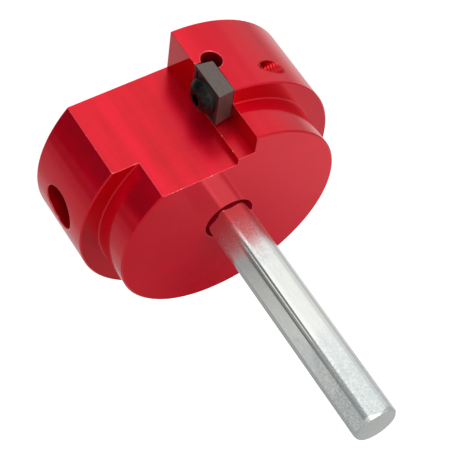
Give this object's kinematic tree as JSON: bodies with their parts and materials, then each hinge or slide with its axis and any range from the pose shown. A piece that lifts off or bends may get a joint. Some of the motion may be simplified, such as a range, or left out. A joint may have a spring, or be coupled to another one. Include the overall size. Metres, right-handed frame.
{
  "type": "indexable facing head",
  "caption": "Stepped anodised head with a clamped square cutting insert in a chip gullet, held on a hex drive shank by a set screw.",
  "frame": {"origin": "centre of the head's rear face, which is the bottom of the whole part", "axes": "+Z along the axis towards the shank's free end, +Y the normal of the gullet's flat, +X from the gullet's wall into the insert seat"},
  "size_m": [0.061, 0.0612, 0.0847],
  "materials": {
    "anodised_red": "semi-gloss red anodised",
    "zinc_plate": "drawn bar, bright zinc plated",
    "carbide": "ground tungsten carbide",
    "black_oxide": "oiled black oxide"
  },
  "bodies": {
    "head": {"cutter_body": "anodised_red"},
    "shank": {"hex_shank": "zinc_plate"},
    "insert": {"cutting_insert": "carbide"},
    "clamp_screw": {"insert_screw": "black_oxide"},
    "set_screw": {"shank_set_screw": "black_oxide"}
  },
  "joints": [
    {"name": "shank_slide", "type": "slide", "parent": "head", "child": "shank", "axis": [0, 0, 1], "range_m": [0, 0.024]},
    {"name": "set_screw_travel", "type": "slide", "parent": "head", "child": "set_screw", "axis": [-1, 0, 0], "range_m": [0, 0.01]},
    {"name": "insert_screw_travel", "type": "slide", "parent": "head", "child": "clamp_screw", "axis": [-1, 0, 0], "range_m": [0, 0.008]},
    {"name": "insert_lift", "type": "slide", "parent": "head", "child": "insert", "axis": [-1, 0, 0], "range_m": [0, 0.004]}
  ],
  "couplings": [
    {"joint": "insert_lift", "follows": "insert_screw_travel", "ratio": 0.5}
  ]
}
